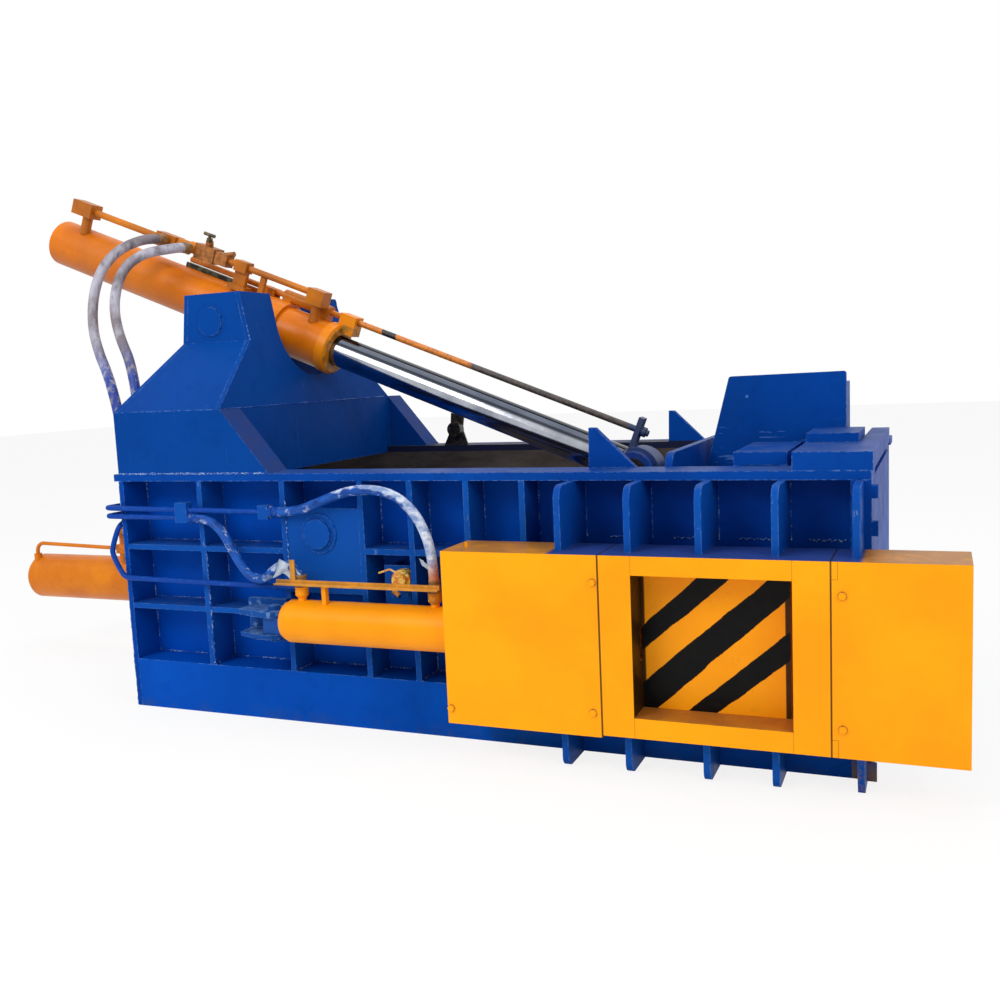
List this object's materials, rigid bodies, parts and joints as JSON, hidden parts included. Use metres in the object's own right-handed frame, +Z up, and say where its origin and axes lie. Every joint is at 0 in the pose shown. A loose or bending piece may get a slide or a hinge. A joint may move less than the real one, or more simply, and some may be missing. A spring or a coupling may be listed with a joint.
{
  "type": "recycling baler",
  "caption": "Side push-out scrap baler: welded chamber with main ram, hinged cylinder-driven lid, sliding discharge gate and side ejector.",
  "frame": {"origin": "centre of the welded skid's footprint on the ground", "axes": "+X to the discharge end, +Y to the back, +Z up; the gate is on the -Y side"},
  "size_m": [5.092, 3.45, 2.5506],
  "materials": {
    "frame_blue": "gloss royal blue paint over welded plate, scuffed",
    "cylinder_orange": "gloss orange paint, dusty",
    "gate_yellow": "gloss yellow-orange paint, dusty, with black stripes on the gate",
    "raw_steel": "worn, oily dark steel",
    "chamber_steel": "unpainted, brown-black plate",
    "chrome_rod": "hard-chromed rod",
    "gland_olive": "oily olive-yellow ring",
    "hose_wrap": "hydraulic hose wrapped in clear film",
    "indicator_paint": "worn orange paint with one black band, bare dark steel to the right"
  },
  "bodies": {
    "frame": {"base_skid": "frame_blue", "near_wall": "frame_blue", "far_wall": "frame_blue", "top_flanges": "frame_blue", "left_end_plate": "frame_blue", "end_wall": "frame_blue", "near_side_ribs": "frame_blue", "far_side_ribs": "frame_blue", "near_buttress_ribs": "frame_blue", "far_buttress_ribs": "frame_blue", "tower_side_boxes": "frame_blue", "tower_front_plate": "frame_blue", "tower_rear_plate": "frame_blue", "tower_cheeks": "frame_blue", "centre_guide_plate": "frame_blue", "roof_blocks": "frame_blue", "cross_plate": "frame_blue", "lid_hinge_shaft": "frame_blue", "near_pipes": "frame_blue", "pipe_clamps": "frame_blue", "ejector_housing": "frame_blue", "main_cylinder_barrel": "cylinder_orange", "main_port_pipe": "cylinder_orange", "ejector_cylinder_barrel": "cylinder_orange", "gate_frame": "gate_yellow", "gate_left_guard": "gate_yellow", "gate_right_guard": "gate_yellow", "guard_bolts": "gate_yellow", "gate_cylinder_barrel": "gate_yellow", "pipe_support_angle": "gate_yellow", "sensor_fitting": "gate_yellow", "gate_cylinder_bracket": "frame_blue", "fixed_shear_blade": "raw_steel", "limit_switch_bracket": "raw_steel", "floor_liner": "chamber_steel", "chamber_roof": "chamber_steel", "ram_roof": "chamber_steel", "gate_hose_rear": "hose_wrap", "gate_hose_front": "hose_wrap", "lid_hose_outer": "hose_wrap", "lid_hose_inner": "hose_wrap"},
    "gate": {"gate_plate": "gate_yellow", "gate_pin": "raw_steel", "gate_rod": "chrome_rod"},
    "ram": {"ram_head": "chamber_steel", "ram_shoes": "raw_steel", "main_rod": "chrome_rod"},
    "lid": {"lid_frame": "frame_blue", "lid_pin": "raw_steel", "lid_blade": "raw_steel"},
    "lid_cylinder": {"lid_cylinder_barrel": "cylinder_orange", "lid_gland_ring": "gland_olive", "lid_cylinder_brackets": "cylinder_orange", "lid_cylinder_oil_line": "cylinder_orange", "needle_valve_body": "raw_steel"},
    "valve_handle": {"needle_valve_handle": "raw_steel"},
    "lid_rod_body": {"lid_rod": "chrome_rod", "indicator_rod": "indicator_paint"},
    "ejector": {"ejector_rod": "chrome_rod", "ejector_platen": "chamber_steel"}
  },
  "joints": [
    {"name": "main_ram_slide", "type": "slide", "parent": "frame", "child": "ram", "axis": [1, 0, 0], "range_m": [0, 1.43]},
    {"name": "lid_hinge", "type": "hinge", "parent": "frame", "child": "lid", "pos_m": [-0.572, 0, 0.85], "axis": [0, -1, 0], "range_deg": [0, 88]},
    {"name": "lid_cylinder_tilt", "type": "hinge", "parent": "frame", "child": "lid_cylinder", "pos_m": [-1.32, 0, 1.803], "axis": [0, -1, 0], "range_deg": [0, 44]},
    {"name": "lid_rod_pivot", "type": "hinge", "parent": "lid", "child": "lid_rod_body", "pos_m": [0.62, 0, 1.032], "axis": [0, -1, 0], "range_deg": [-44.5, 0]},
    {"name": "needle_valve_turn", "type": "hinge", "parent": "lid_cylinder", "child": "valve_handle", "pos_m": [-1.63635, -0.06, 2.18483], "axis": [0.3471, -0.342, 0.8733], "range_deg": [0, 360]},
    {"name": "gate_slide", "type": "slide", "parent": "frame", "child": "gate", "axis": [1, 0, 0], "range_m": [0, 0.558]},
    {"name": "ejector_slide", "type": "slide", "parent": "frame", "child": "ejector", "axis": [0, -1, 0], "range_m": [0, 1.3]}
  ],
  "couplings": [
    {"joint": "lid_cylinder_tilt", "follows": "lid_hinge", "ratio": 0.49675},
    {"joint": "lid_rod_pivot", "follows": "lid_hinge", "ratio": -0.50325}
  ]
}
